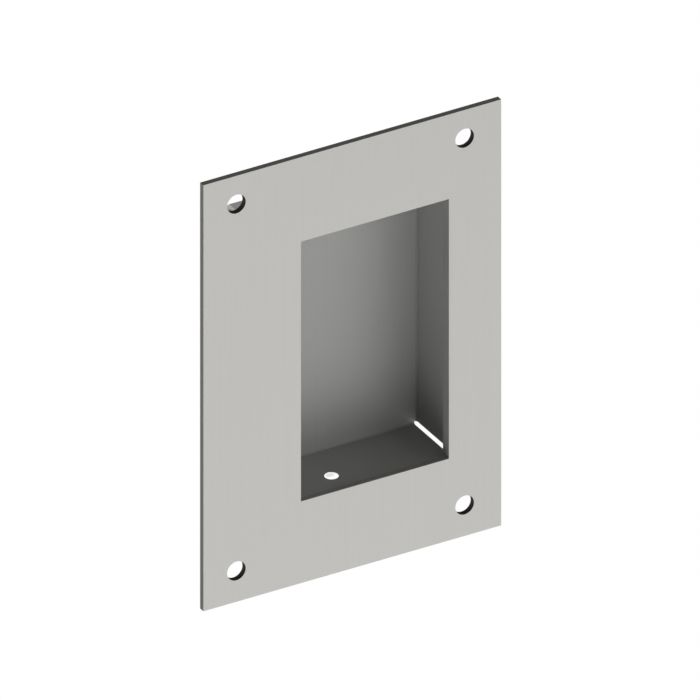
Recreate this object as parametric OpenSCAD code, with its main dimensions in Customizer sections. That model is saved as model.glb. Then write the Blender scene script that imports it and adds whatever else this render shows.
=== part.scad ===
// Recessed pull handle: a flat screw-on front plate with a window, and a folded
// sheet pan behind it that the fingers reach into.
// The front of the plate faces -Y, +Z is up, and Y = 0 is the plate's back face.
// The origin is the centre of the four screw holes.

/* [Front plate] */
// Width of the plate
plate_w = 100; // [95:0.5:130]
// Height of the plate
plate_h = 143; // [138:0.5:180]
// Thickness of the plate
plate_t = 2; // [1:0.1:3]

/* [Screw holes] */
// Diameter of each screw hole
hole_d = 6.2; // [4:0.1:7]
// Left edge of the plate to the left screw holes
hole_left = 11.1; // [8:0.1:14]
// Right edge of the plate to the right screw holes
hole_right = 12.3; // [9:0.1:15]
// Top edge of the plate to the upper screw holes
hole_top = 9.5; // [7:0.1:12]
// Bottom edge of the plate to the lower screw holes
hole_bottom = 10.4; // [8:0.1:14]

/* [Window] */
// Width of the window
window_w = 49.6; // [35:0.1:52]
// Height of the window
window_h = 87.1; // [70:0.1:90]
// Left edge of the plate to the window
window_left = 32.8; // [30:0.1:36]
// Bottom edge of the plate to the window
window_bottom = 27.5; // [24:0.1:32]

/* [Pan] */
// Thickness of the pan's sheet
pan_t = 1.5; // [0.8:0.1:2]
// Plate's back face to the outside of the pan's back
pan_depth = 23; // [15:0.5:40]
// Inside radius of every bend
bend_r = 0.6; // [0.5:0.1:2]
// How far the pan reaches past the window on the grip side
reach_left = 11.3; // [4:0.1:12]
// How far the pan reaches past the window on the other side
reach_right = 2.7; // [2.5:0.1:6]
// How far the pan reaches past the window at the top
reach_top = 2.4; // [0.3:0.1:4]
// How far the pan's floor lies below the window
reach_bottom = 0.6; // [0.3:0.1:4]
// Width of the open seam that each folded corner leaves
seam_gap = 0.75; // [0.5:0.05:2]

/* [Drain hole] */
// Diameter of the drain hole in the pan's floor
drain_d = 4.2; // [3:0.1:8]
// Left edge of the window to the drain hole
drain_left = 15.6; // [8:0.1:40]
// Plate's back face to the drain hole
drain_back = 7.4; // [5:0.1:10]

/* [Stitch welds] */
// Reach of each weld bead up the pan's wall and along the plate
weld_leg = 1.9; // [1:0.1:2.5]
// Length of each weld bead
weld_l = 9; // [5:0.5:14]
// Distance between the beads along the pan's sides
weld_pitch_side = 32; // [20:1:36]
// Distance between the beads along the pan's top and bottom
weld_pitch_end = 34; // [20:1:44]

/* [Hidden] */
$fn = 96;

// How far a cut runs past the sheet on each side
over = 1;

// Distances between the screw holes
hole_pitch_x = plate_w - hole_left - hole_right;
hole_pitch_z = plate_h - hole_bottom - hole_top;

// Plate's lower left corner, seen from the origin
plate_x = -hole_pitch_x / 2 - hole_left;
plate_z = -hole_pitch_z / 2 - hole_bottom;

// Window's edges
window_x0 = plate_x + window_left;
window_x1 = window_x0 + window_w;
window_z0 = plate_z + window_bottom;
window_z1 = window_z0 + window_h;

// Inside faces of the pan
pan_x0 = window_x0 - reach_left;
pan_x1 = window_x1 + reach_right;
pan_z0 = window_z0 - reach_bottom;
pan_z1 = window_z1 + reach_top;
pan_mid_x = (pan_x0 + pan_x1) / 2;
pan_mid_z = (pan_z0 + pan_z1) / 2;

// Outside radius of a bend, and where the flat part of a wall ends
bend_out = bend_r + pan_t;
wall_y = pan_depth - bend_out;

// A rectangle from one corner to the opposite one
module rect(x0, y0, x1, y1) {
    translate([x0, y0]) square([x1 - x0, y1 - y0]);
}

// A quarter of a bend round its own centre, opening towards the signs of sx and sy
module bend(sx, sy) {
    intersection() {
        difference() {
            circle(r = bend_out);
            circle(r = bend_r);
        }
        mirror([sx < 0 ? 1 : 0, 0]) mirror([0, sy < 0 ? 1 : 0]) square(bend_out);
    }
}

// A profile drawn in Y and Z, drawn out along X from x0 to x1
module along_x(x0, x1) {
    translate([x0, 0, 0]) rotate([90, 0, 90]) linear_extrude(x1 - x0) children();
}

// A profile drawn in X and Y, drawn out along Z from z0 to z1
module along_z(z0, z1) {
    translate([0, 0, z0]) linear_extrude(z1 - z0) children();
}

module screw_holes() {
    for (sx = [-1, 1], sz = [-1, 1])
        translate([sx * hole_pitch_x / 2, over, sz * hole_pitch_z / 2])
            rotate([90, 0, 0])
                cylinder(d = hole_d, h = plate_t + 2 * over);
}

module front_plate() {
    color("silver")
    difference() {
        translate([plate_x, -plate_t, plate_z])
            cube([plate_w, plate_t, plate_h]);
        translate([window_x0, -plate_t - over, window_z0])
            cube([window_w, plate_t + 2 * over, window_h]);
        screw_holes();
    }
}

// Right wall with its two bends and its lip, which lies on the plate and ends at the window
module side_wall(wall_x, lip_x) {
    rect(wall_x, bend_out, wall_x + pan_t, wall_y);
    translate([wall_x - bend_r, wall_y]) bend(1, 1);
    translate([wall_x - bend_r, bend_out]) bend(1, -1);
    rect(lip_x, 0, wall_x - bend_r, pan_t);
}

// Seen from above: lip, wall, back, wall, lip
module side_profile() {
    rect(pan_x0 + bend_r, pan_depth - pan_t, pan_x1 - bend_r, pan_depth);
    side_wall(pan_x1, window_x1);
    mirror([1, 0]) side_wall(-pan_x0, -window_x0);
}

// Seen from the side: ceiling, back and floor. The ceiling and the floor end at the plate
module end_profile() {
    rect(pan_depth - pan_t, pan_z0 + bend_r, pan_depth, pan_z1 - bend_r);
    rect(0, pan_z0 - pan_t, wall_y, pan_z0);
    rect(0, pan_z1, wall_y, pan_z1 + pan_t);
    translate([wall_y, pan_z0 + bend_r]) bend(1, -1);
    translate([wall_y, pan_z1 - bend_r]) bend(1, 1);
}

// One blank folded on four sides. Each folded corner stays open as a narrow seam
module recess_pan() {
    color("lightgray")
    difference() {
        union() {
            along_z(pan_z0 + seam_gap, pan_z1 - seam_gap) side_profile();
            along_x(pan_x0 + seam_gap, pan_x1 - seam_gap) end_profile();
        }
        translate([window_x0 + drain_left, drain_back, pan_z0 - pan_t - over])
            cylinder(d = drain_d, h = pan_t + 2 * over);
    }
}

// A round-ended bead of filler along Z, its root at the origin
module bead() {
    cylinder(r = weld_leg, h = weld_l - 2 * weld_leg, center = true);
    for (s = [-1, 1])
        translate([0, 0, s * (weld_l / 2 - weld_leg)]) sphere(r = weld_leg);
}

// The quarter of a bead that lies outside a flat wall whose outer face is at z = 0
module end_bead() {
    intersection() {
        rotate([0, 90, 0]) bead();
        translate([-weld_l, 0, 0]) cube([2 * weld_l, 2 * weld_leg, 2 * weld_leg]);
    }
}

// A bead that fills the groove between the plate and the pan's rounded side,
// whose outer face is at x = 0
module side_bead() {
    difference() {
        intersection() {
            bead();
            translate([-pan_t, 0, -weld_l])
                cube([pan_t + 2 * weld_leg, 2 * weld_leg, 2 * weld_l]);
        }
        translate([-bend_out, bend_out, 0])
            cylinder(r = bend_out, h = 2 * weld_l, center = true);
    }
}

module stitch_welds() {
    color("gray") {
        for (i = [-1:1]) {
            z = pan_mid_z + i * weld_pitch_side;
            translate([pan_x1 + pan_t, 0, z]) side_bead();
            translate([pan_x0 - pan_t, 0, z]) mirror([1, 0, 0]) side_bead();
        }
        for (i = [-0.5, 0.5]) {
            x = pan_mid_x + i * weld_pitch_end;
            translate([x, 0, pan_z1 + pan_t]) end_bead();
            translate([x, 0, pan_z0 - pan_t]) mirror([0, 0, 1]) end_bead();
        }
    }
}

front_plate();
recess_pan();
stitch_welds();
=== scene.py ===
import math

import bmesh
import bpy
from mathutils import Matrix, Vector


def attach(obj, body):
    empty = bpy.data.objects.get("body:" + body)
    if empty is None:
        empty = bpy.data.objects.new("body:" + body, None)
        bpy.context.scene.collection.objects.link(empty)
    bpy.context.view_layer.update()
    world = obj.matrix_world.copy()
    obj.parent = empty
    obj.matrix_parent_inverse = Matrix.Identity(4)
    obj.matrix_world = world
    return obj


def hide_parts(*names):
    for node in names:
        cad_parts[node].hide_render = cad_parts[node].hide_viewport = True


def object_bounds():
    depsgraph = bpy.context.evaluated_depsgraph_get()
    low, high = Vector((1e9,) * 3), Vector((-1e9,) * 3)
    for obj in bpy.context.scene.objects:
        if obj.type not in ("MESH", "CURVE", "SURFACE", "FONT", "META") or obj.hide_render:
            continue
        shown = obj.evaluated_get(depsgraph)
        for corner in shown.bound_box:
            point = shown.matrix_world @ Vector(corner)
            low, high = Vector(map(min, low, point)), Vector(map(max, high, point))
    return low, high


# Recessed pull handle: satin stainless plate, folded pan and stitch welds, in metres
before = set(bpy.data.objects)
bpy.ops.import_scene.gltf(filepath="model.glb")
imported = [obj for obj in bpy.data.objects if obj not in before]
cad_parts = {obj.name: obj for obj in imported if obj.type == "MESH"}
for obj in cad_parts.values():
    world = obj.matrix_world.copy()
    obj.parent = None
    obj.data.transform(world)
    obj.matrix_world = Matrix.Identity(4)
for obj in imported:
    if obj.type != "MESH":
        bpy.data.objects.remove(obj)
cadLow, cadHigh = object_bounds()
scene = bpy.context.scene
scene.view_settings.view_transform = "Standard"
print("frame loaded")


# A socket that can stand in an expression, such as 1 - mask * 0.5
class Wire:
    def __init__(self, nodes, socket):
        self.nodes = nodes
        self.socket = socket

    def __add__(self, other):
        return self.nodes.maths("ADD", self, other)

    def __sub__(self, other):
        return self.nodes.maths("SUBTRACT", self, other)

    def __mul__(self, other):
        return self.nodes.maths("MULTIPLY", self, other)

    def __radd__(self, other):
        return self.nodes.maths("ADD", other, self)

    def __rsub__(self, other):
        return self.nodes.maths("SUBTRACT", other, self)

    def __rmul__(self, other):
        return self.nodes.maths("MULTIPLY", other, self)


# The nodes of one material or of the world
class Nodes:
    def __init__(self, owner):
        owner.use_nodes = True
        self.tree = owner.node_tree
        self.tree.nodes.clear()

    def add(self, kind, settings, sockets, out=0):
        made = self.tree.nodes.new(kind)
        for name, value in settings.items():
            setattr(made, name, value)
        for name, value in sockets.items():
            if isinstance(value, Wire):
                self.tree.links.new(value.socket, made.inputs[name])
            else:
                made.inputs[name].default_value = value
        return Wire(self, made.outputs[out]) if made.outputs else made

    def maths(self, operation, *values):
        return self.add("ShaderNodeMath", {"operation": operation}, dict(enumerate(values)))

    def place(self):
        return self.add("ShaderNodeTexCoord", {}, {}, out="Object")

    # One part of a vector: 0, 1 or 2 for X, Y or Z
    def part(self, vector, axis):
        return self.add("ShaderNodeSeparateXYZ", {}, {0: vector}, out=axis)

    # Noise in object space, drawn out along the directions whose scale is small
    def noise(self, scale, detail=2.0, roughness=0.5):
        where = self.add("ShaderNodeMapping", {}, {"Vector": self.place(), "Scale": scale})
        return self.add("ShaderNodeTexNoise", {},
                        {"Vector": where, "Scale": 1.0, "Detail": detail, "Roughness": roughness})

    # A smooth step from 0 to 1 while value goes from low to high
    def step(self, value, low, high):
        return self.add("ShaderNodeMapRange", {"interpolation_type": "SMOOTHSTEP"},
                        {"Value": value, "From Min": low, "From Max": high})

    # 1 for the kinds of ray that are named, 0 for the others
    def rays(self, *names):
        share = 0.0
        for name in names:
            share = self.maths("MAXIMUM", share, self.add("ShaderNodeLightPath", {}, {}, out=name))
        return share

    def blendColours(self, factor, first, second):
        return self.add("ShaderNodeMix", {"data_type": "RGBA"}, {0: factor, 6: first, 7: second}, out=2)

    def bump(self, height, depth):
        return self.add("ShaderNodeBump", {}, {"Height": height, "Distance": depth})


# A colour given as it looks on a screen, each part from 0 to 255
def tone(red, green, blue):
    def linear(level):
        share = level / 255
        return share / 12.92 if share <= 0.04045 else ((share + 0.055) / 1.055) ** 2.4
    return (linear(red), linear(green), linear(blue), 1.0)


black = (0.0, 0.0, 0.0, 1.0)
white = (1.0, 1.0, 1.0, 1.0)

# Shared by sheets and cut edges: how far their marks are drawn out and how much they change the gloss
steelLook = {
    "grainStretch": 0.012, "grainDetail": 3.0, "grainRough": 0.6,
    "streakStretch": 0.02, "strokeStretch": 0.06,
    "grainGloss": 0.25, "cloudGloss": 0.1, "strokeGloss": 0.3,
}


# A noise scale for each axis, small along one of them so that the marks run that way
def drawnOut(scale, along, stretch):
    return [scale * stretch if axis == along else scale for axis in range(3)]


# Brushed sheet: long fine grain, broader streaks, slow clouding and the tint that welding leaves
def sheetSteel(look, along):
    material = bpy.data.materials.new(look["name"] + "XYZ"[along])
    nodes = Nodes(material)
    grain = nodes.noise(drawnOut(look["fineGrain"], along, steelLook["grainStretch"]),
                        steelLook["grainDetail"], steelLook["grainRough"])
    streak = nodes.noise(drawnOut(look["streaks"], along, steelLook["streakStretch"]))
    cloud = nodes.noise([look["clouds"]] * 3)
    mark = (grain - 0.5) * look["grainShare"] + (streak - 0.5) * look["streakShare"]
    shade = mark + (cloud - 0.5) * look["cloudShare"] + 0.5
    steel = nodes.blendColours(shade, look["dark"], look["light"])
    heat = weldHeat(nodes) * (cloud + weldLook["evenTint"])
    gloss = mark * steelLook["grainGloss"] + (cloud - 0.5) * steelLook["cloudGloss"]
    shader = nodes.add("ShaderNodeBsdfPrincipled", {}, {
        "Base Color": nodes.blendColours(heat * look["tintShare"], steel, look["tint"]),
        "Metallic": look["metallic"],
        "Roughness": gloss + look["rough"],
        "Normal": nodes.bump(grain, look["grainDepth"]),
    })
    nodes.add("ShaderNodeOutputMaterial", {}, {"Surface": shader})
    return material


# 1 at a weld bead, falling to 0 a few millimetres away, outside the pan and behind the plate only
def weldHeat(nodes):
    place = nodes.place()
    beside = nodes.maths("ABSOLUTE", nodes.part(place, 0) - weldLook["middle"])
    above = nodes.maths("ABSOLUTE", nodes.part(place, 2))
    outside = nodes.maths("MAXIMUM", nodes.step(beside, *weldLook["pastSides"]),
                          nodes.step(above, *weldLook["pastEnds"]))
    behindPlate = nodes.step(nodes.part(place, 1), *weldLook["pastPlate"])
    heat = 0.0
    for centre in weldLook["centres"]:
        away = nodes.add("ShaderNodeVectorMath", {"operation": "DISTANCE"}, {0: place, 1: centre},
                         out="Value")
        heat = nodes.maths("MAXIMUM", heat, 1 - nodes.step(away, weldLook["hot"], weldLook["cold"]))
    return heat * outside * behindPlate


# Laser-cut edge: fine strokes across the sheet's thickness
def cutSteel(look):
    material = bpy.data.materials.new(look["name"])
    nodes = Nodes(material)
    stroke = nodes.noise(drawnOut(look["strokes"], 1, steelLook["strokeStretch"]))
    cloud = nodes.noise([look["clouds"]] * 3)
    mark = (stroke - 0.5) * look["strokeShare"] + (cloud - 0.5) * look["cloudShare"]
    shader = nodes.add("ShaderNodeBsdfPrincipled", {}, {
        "Base Color": nodes.blendColours(mark + 0.5, look["dark"], look["light"]),
        "Metallic": look["metallic"],
        "Specular IOR Level": look["shine"],
        "Roughness": mark * steelLook["strokeGloss"] + look["rough"],
        "Normal": nodes.bump(stroke, look["strokeDepth"]),
        # A glow set here is painted light; only the drain's wall sets one
        "Emission Color": white,
        "Emission Strength": look.get("glow", 0.0),
    })
    nodes.add("ShaderNodeOutputMaterial", {}, {"Surface": shader})
    return material


# Stitch welds: rippled beads with a straw and blue heat tint
def weldSteel(look):
    material = bpy.data.materials.new(look["name"])
    nodes = Nodes(material)
    place = nodes.place()
    across, upright = nodes.part(place, 0), nodes.part(place, 2)
    atEnd = nodes.maths("GREATER_THAN", nodes.maths("ABSOLUTE", upright), look["endBeadsFrom"])
    along = upright + (across - upright) * atEnd
    wobble = nodes.noise([look["wobble"]] * 3)
    ripple = nodes.maths("SINE", (along + wobble * look["wobbleReach"]) * (2 * math.pi / look["ripple"]))
    tint = nodes.noise([look["tints"]] * 3)
    straw = nodes.blendColours(tint, look["dark"], look["light"])
    blueing = nodes.step(tint, look["blueFrom"], look["blueTo"]) * look["blueShare"]
    shader = nodes.add("ShaderNodeBsdfPrincipled", {}, {
        "Base Color": nodes.blendColours(blueing, straw, look["blue"]),
        "Metallic": look["metallic"],
        "Roughness": tint * look["tintGloss"] + look["rough"],
        "Normal": nodes.bump(ripple, look["rippleDepth"]),
    })
    nodes.add("ShaderNodeOutputMaterial", {}, {"Surface": shader})
    return material


# How a solid's loose triangles become a clean skin: lengths in metres, angles in degrees
skinLook = {"mergeWithin": 1e-6, "flatAngle": 0.3, "sharpAngle": 40, "bevelSteps": 2}


# A copy of a CAD node as one closed skin, with its sharp edges broken
def brokenEdges(name, node, width):
    mesh = bmesh.new()
    mesh.from_mesh(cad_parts[node].data)
    bmesh.ops.remove_doubles(mesh, verts=mesh.verts, dist=skinLook["mergeWithin"])
    bmesh.ops.dissolve_limit(mesh, angle_limit=math.radians(skinLook["flatAngle"]), verts=mesh.verts,
                             edges=mesh.edges, use_dissolve_boundaries=False)
    sharpAngle = math.radians(skinLook["sharpAngle"])
    sharp = [edge for edge in mesh.edges if edge.calc_face_angle(0) > sharpAngle
             and not inJoint((edge.verts[0].co + edge.verts[1].co) / 2)]
    bmesh.ops.bevel(mesh, geom=sharp, offset=width, segments=skinLook["bevelSteps"], profile=0.5,
                    affect="EDGES", material=-1, clamp_overlap=True)
    for edge in mesh.edges:
        edge.smooth = edge.calc_face_angle(0) < sharpAngle
    data = bpy.data.meshes.new(name)
    mesh.to_mesh(data)
    mesh.free()
    data.polygons.foreach_set("use_smooth", [True] * len(data.polygons))
    piece = bpy.data.objects.new(name, data)
    scene.collection.objects.link(piece)
    piece.modifiers.new("flatFaces", "WEIGHTED_NORMAL").keep_sharp = True
    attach(piece, "root")
    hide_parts(node)
    return piece


# Where the pan lies on the plate the two meet flush, so no edge is broken there
joint = {"low": (-0.0295, -0.00005, -0.0467), "high": (0.0373, 0.00005, 0.0467)}


def inJoint(place):
    return all(joint["low"][axis] < place[axis] < joint["high"][axis] for axis in range(3))


# Stitch welds on the pan's sides and ends, made first because their heat marks the sheet
weldLook = {
    "name": "weldMetal", "endBeadsFrom": 0.0466, "ripple": 0.0008, "rippleDepth": 0.00005,
    "wobble": 900, "wobbleReach": 0.0006, "tints": 260, "tintGloss": 0.2,
    "dark": tone(112, 103, 86), "light": tone(168, 164, 155), "blue": tone(98, 104, 122),
    "blueFrom": 0.5, "blueTo": 0.75, "blueShare": 0.5, "metallic": 0.8, "rough": 0.34,
    "hot": 0.0025, "cold": 0.0075, "evenTint": 0.4, "middle": 0.0039,
    "pastSides": (0.0322, 0.033), "pastEnds": (0.0455, 0.0462), "pastPlate": (-0.0012, -0.0006),
    "centres": [(x, 0, z) for x in (-0.0294, 0.0372) for z in (-0.032, 0, 0.032)]
    + [(x, 0, z) for x in (-0.0131, 0.0209) for z in (-0.0466, 0.0466)],
}
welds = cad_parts["stitch_welds"]
welds.data.materials.clear()
welds.data.materials.append(weldSteel(weldLook))
print("welds made")

# Front plate
plateLook = {
    "sheet": {
        "name": "satinPlate", "fineGrain": 5200, "streaks": 900, "clouds": 22,
        "grainShare": 0.5, "streakShare": 0.3, "cloudShare": 0.35,
        "dark": tone(193, 192, 188), "light": tone(207, 206, 202),
        "tint": tone(150, 128, 96), "tintShare": 0.5,
        "metallic": 0.6, "rough": 0.45, "grainDepth": 0.000006,
    },
    # The outer cut edges and the window's rim are one laser-cut edge in two tones: the outer edges, under
    # the lamps from above and behind, are painted dark (painted shade); the rim in the recess is painted
    # light
    "cut": {
        "name": "plateCutEdgePaintedShade", "strokes": 4200, "clouds": 60, "strokeShare": 0.7, "cloudShare": 0.4,
        "dark": tone(78, 77, 75), "light": tone(99, 98, 96),
        "metallic": 0.2, "rough": 0.7, "shine": 0.2, "strokeDepth": 0.00001,
    },
    "rim": {
        "name": "windowRimPaintedLight", "strokes": 4200, "clouds": 60, "strokeShare": 0.7, "cloudShare": 0.4,
        "dark": tone(152, 151, 149), "light": tone(168, 167, 165),
        "metallic": 0.4, "rough": 0.6, "shine": 0.4, "strokeDepth": 0.00001,
    },
    # The holes' walls are near black, darker than the plate's other cut edges: painted shade in the holes
    "bore": {
        "name": "plateBorePaintedShade", "strokes": 4200, "clouds": 60, "strokeShare": 0.7, "cloudShare": 0.4,
        "dark": tone(38, 34, 33), "light": tone(52, 46, 44),
        "metallic": 0.1, "rough": 0.8, "shine": 0.1, "strokeDepth": 0.00001,
    },
    "edgeWidth": 0.0001, "flatFace": 0.8, "rimReach": 0.048,
    "holes": [(x, z) for x in (-0.0383, 0.0383) for z in (-0.06155, 0.06155)], "holeReach": 0.0034,
}


# 0 for the sheet's faces, 1 for the outer cut edges (painted shade), 2 for the window's rim (painted
# light), 3 for a hole's wall (painted shade)
def platePart(face):
    place = (face.center.x, face.center.z)
    if abs(face.normal.y) > plateLook["flatFace"]:
        return 0
    if min(math.dist(hole, place) for hole in plateLook["holes"]) < plateLook["holeReach"]:
        return 3
    return 2 if max(abs(part) for part in place) < plateLook["rimReach"] else 1


plate = brokenEdges("plate_skin", "front_plate", plateLook["edgeWidth"])
plate.data.materials.append(sheetSteel(plateLook["sheet"], 2))
plate.data.materials.append(cutSteel(plateLook["cut"]))
plate.data.materials.append(cutSteel(plateLook["rim"]))
plate.data.materials.append(cutSteel(plateLook["bore"]))
for face in plate.data.polygons:
    face.material_index = platePart(face)
print("plate made")

# Pan: the grain runs up its back and sides and turns with the folds onto its floor and ceiling
panLook = {
    # The pan's sheet is darker than the plate's, which darkens the recess: painted shade
    "sheet": {
        "name": "satinPan", "fineGrain": 4200, "streaks": 700, "clouds": 26,
        "grainShare": 0.5, "streakShare": 0.35, "cloudShare": 0.4,
        "dark": tone(169, 169, 167), "light": tone(186, 186, 184),
        "tint": tone(128, 108, 80), "tintShare": 0.5,
        "metallic": 0.5, "rough": 0.6, "grainDepth": 0.000006,
    },
    # Bends and broken edges: darker and duller than the sheet, painted shade in the folds
    "bend": {
        "name": "panBendPaintedShade", "strokes": 2600, "clouds": 60, "strokeShare": 0.5, "cloudShare": 0.4,
        "dark": tone(150, 150, 148), "light": tone(166, 166, 164),
        "metallic": 0.3, "rough": 0.7, "shine": 0.2, "strokeDepth": 0.00001,
    },
    "cut": {
        "name": "panCutEdge", "strokes": 4200, "clouds": 60, "strokeShare": 0.7, "cloudShare": 0.4,
        "dark": tone(148, 147, 145), "light": tone(168, 167, 165),
        "metallic": 0.3, "rough": 0.65, "shine": 0.3, "strokeDepth": 0.00001,
    },
    # The drain's wall is near white and glows: painted light, standing in for the white floor seen
    # through the drain
    "bore": {
        "name": "drainWallPaintedGlow", "strokes": 3000, "clouds": 60, "strokeShare": 0.3, "cloudShare": 0.3,
        "dark": tone(240, 240, 239), "light": tone(250, 250, 249),
        "metallic": 0.8, "rough": 0.4, "shine": 0.5, "strokeDepth": 0.000002, "glow": 0.3,
    },
    "edgeWidth": 0.00008,
    "endsX": (-0.02715, -0.0166, 0.033, 0.03495), "endsZ": (-0.0443, 0.0443), "endSlack": 0.00002,
    "drain": (-0.001, 0.0074), "drainReach": 0.0023, "wallLimit": 0.8,
    "squareOn": 0.9, "flatFace": 0.99, "levelFace": 0.7,
}


# 0 or 1 for sheet, its grain along Z or Y, 2 for a cut end, 3 for the drain's wall, painted bright and
# glowing: painted light, 4 for bends and broken edges, painted darker: painted shade
def panPart(face):
    place, slope = face.center, [abs(part) for part in face.normal]
    byDrain = math.dist(panLook["drain"], (place.x, place.y)) < panLook["drainReach"]
    if byDrain and slope[2] < panLook["wallLimit"]:
        return 3
    for axis, ends in ((0, panLook["endsX"]), (2, panLook["endsZ"])):
        nearest = min(abs(place[axis] - end) for end in ends)
        if slope[axis] > panLook["squareOn"] and nearest < panLook["endSlack"]:
            return 2
    if max(slope) < panLook["flatFace"]:
        return 4
    return 1 if slope[2] > panLook["levelFace"] else 0


pan = brokenEdges("pan_skin", "recess_pan", panLook["edgeWidth"])
pan.data.materials.append(sheetSteel(panLook["sheet"], 2))
pan.data.materials.append(sheetSteel(panLook["sheet"], 1))
pan.data.materials.append(cutSteel(panLook["cut"]))
pan.data.materials.append(cutSteel(panLook["bore"]))
pan.data.materials.append(cutSteel(panLook["bend"]))
for face in pan.data.polygons:
    face.material_index = panPart(face)
print("pan made")

# Floor, white to the camera. It glows in front of the plate, strongest near it
floorLook = {
    "drop": 0.3, "reach": 4.0, "paint": (0.9, 0.9, 0.9, 1.0), "rough": 0.9,
    "glow": 1.24, "nearShare": 0.65, "start": 0.1, "full": -0.1, "fadeFrom": -0.4, "fadeTo": -0.9,
}

floorMesh = bmesh.new()
bmesh.ops.create_grid(floorMesh, x_segments=1, y_segments=1, size=floorLook["reach"])
bmesh.ops.translate(floorMesh, verts=floorMesh.verts, vec=(0, 0, cadLow.z - floorLook["drop"]))
floorData = bpy.data.meshes.new("floor")
floorMesh.to_mesh(floorData)
floorMesh.free()
floor = bpy.data.objects.new("floor", floorData)
scene.collection.objects.link(floor)

floorPaint = bpy.data.materials.new("paleFloor")
floorNodes = Nodes(floorPaint)
shown = floorNodes.rays("Is Camera Ray", "Is Glossy Ray", "Is Transmission Ray")
depth = floorNodes.part(floorNodes.place(), 1)
inFront = 1 - floorNodes.step(depth, floorLook["full"], floorLook["start"])
near = floorNodes.step(depth, floorLook["fadeTo"], floorLook["fadeFrom"])
lit = inFront * (near * floorLook["nearShare"] + (1 - floorLook["nearShare"]))
paint = floorNodes.add("ShaderNodeBsdfPrincipled", {}, {
    "Base Color": floorLook["paint"],
    "Roughness": floorLook["rough"],
    "Emission Color": floorNodes.blendColours(lit, black, white),
    "Emission Strength": floorLook["glow"],
})
backdrop = floorNodes.add("ShaderNodeEmission", {}, {"Color": white, "Strength": 1.0})
floorShader = floorNodes.add("ShaderNodeMixShader", {}, {0: shown, 1: paint, 2: backdrop})
floorNodes.add("ShaderNodeOutputMaterial", {}, {"Surface": floorShader})
floorData.materials.append(floorPaint)

# Studio light: a dim surround with a bright quarter in front on the right and a bright horizon behind
surroundLook = {
    "dim": 0.05,
    "quarter": 0.85, "quarterWay": (0.57, -0.74, 0.36), "quarterFrom": 0.72, "quarterTo": 0.88,
    "topFrom": 0.52, "topTo": 0.72,
    "horizon": 0.9, "horizonFrom": 0.12, "horizonTo": 0.4, "behindFrom": -0.1, "behindTo": 0.3,
}
surround = bpy.data.worlds.new("studio")
scene.world = surround
surroundNodes = Nodes(surround)
way = surroundNodes.add("ShaderNodeTexCoord", {}, {}, out="Generated")
towards = surroundNodes.add("ShaderNodeVectorMath", {"operation": "DOT_PRODUCT"},
                            {0: way, 1: surroundLook["quarterWay"]}, out="Value")
height = surroundNodes.part(way, 2)
under = 1 - surroundNodes.step(height, surroundLook["topFrom"], surroundLook["topTo"])
quarter = surroundNodes.step(towards, surroundLook["quarterFrom"], surroundLook["quarterTo"]) * under
low = 1 - surroundNodes.step(height, surroundLook["horizonFrom"], surroundLook["horizonTo"])
distance = surroundNodes.part(way, 1)
behind = surroundNodes.step(distance, surroundLook["behindFrom"], surroundLook["behindTo"])
horizon = low * behind * surroundLook["horizon"]
shade = quarter * surroundLook["quarter"] + horizon + surroundLook["dim"]
seen = surroundNodes.rays("Is Camera Ray", "Is Transmission Ray")    # the camera sees white
background = surroundNodes.add("ShaderNodeBackground", {}, {
    "Color": surroundNodes.blendColours(surroundNodes.maths("MAXIMUM", shade, seen), black, white),
    "Strength": 1.0,
})
surroundNodes.add("ShaderNodeOutputWorld", {}, {"Surface": background})

lamps = {
    "frontLamp": {"from": (-0.15, -1.17, 0.208), "size": 0.35, "power": 1.0},
    "leftBackLamp": {"from": (-1.2, 0.32, 0.0), "size": 0.5, "power": 10},
    "topLamp": {"from": (0.0, 0.35, 1.2), "size": 0.6, "power": 5.6},
}
for name, lamp in lamps.items():
    light = bpy.data.lights.new(name, "AREA")
    light.size = lamp["size"]
    light.energy = lamp["power"]
    holder = bpy.data.objects.new(name, light)
    scene.collection.objects.link(holder)
    holder.location = lamp["from"]
    holder.rotation_euler = (-Vector(lamp["from"])).to_track_quat("-Z", "Y").to_euler()
print("studio made")

# Camera: a parallel view from 30 degrees to the left of the plate and 30 degrees above it
shot = {
    "azimuth": -30, "elevation": 30, "aim": (-0.0002, -0.002, 0.0016), "width": 0.20343, "away": 1.0,
}
azimuth = math.radians(shot["azimuth"])
elevation = math.radians(shot["elevation"])
back = Vector((math.sin(azimuth) * math.cos(elevation), -math.cos(azimuth) * math.cos(elevation),
               math.sin(elevation)))
lens = bpy.data.cameras.new("camera")
lens.type = "ORTHO"
lens.ortho_scale = shot["width"]
camera = bpy.data.objects.new("camera", lens)
scene.collection.objects.link(camera)
camera.location = Vector(shot["aim"]) + back * shot["away"]
camera.rotation_euler = back.to_track_quat("Z", "Y").to_euler()
scene.camera = camera
print("camera made")
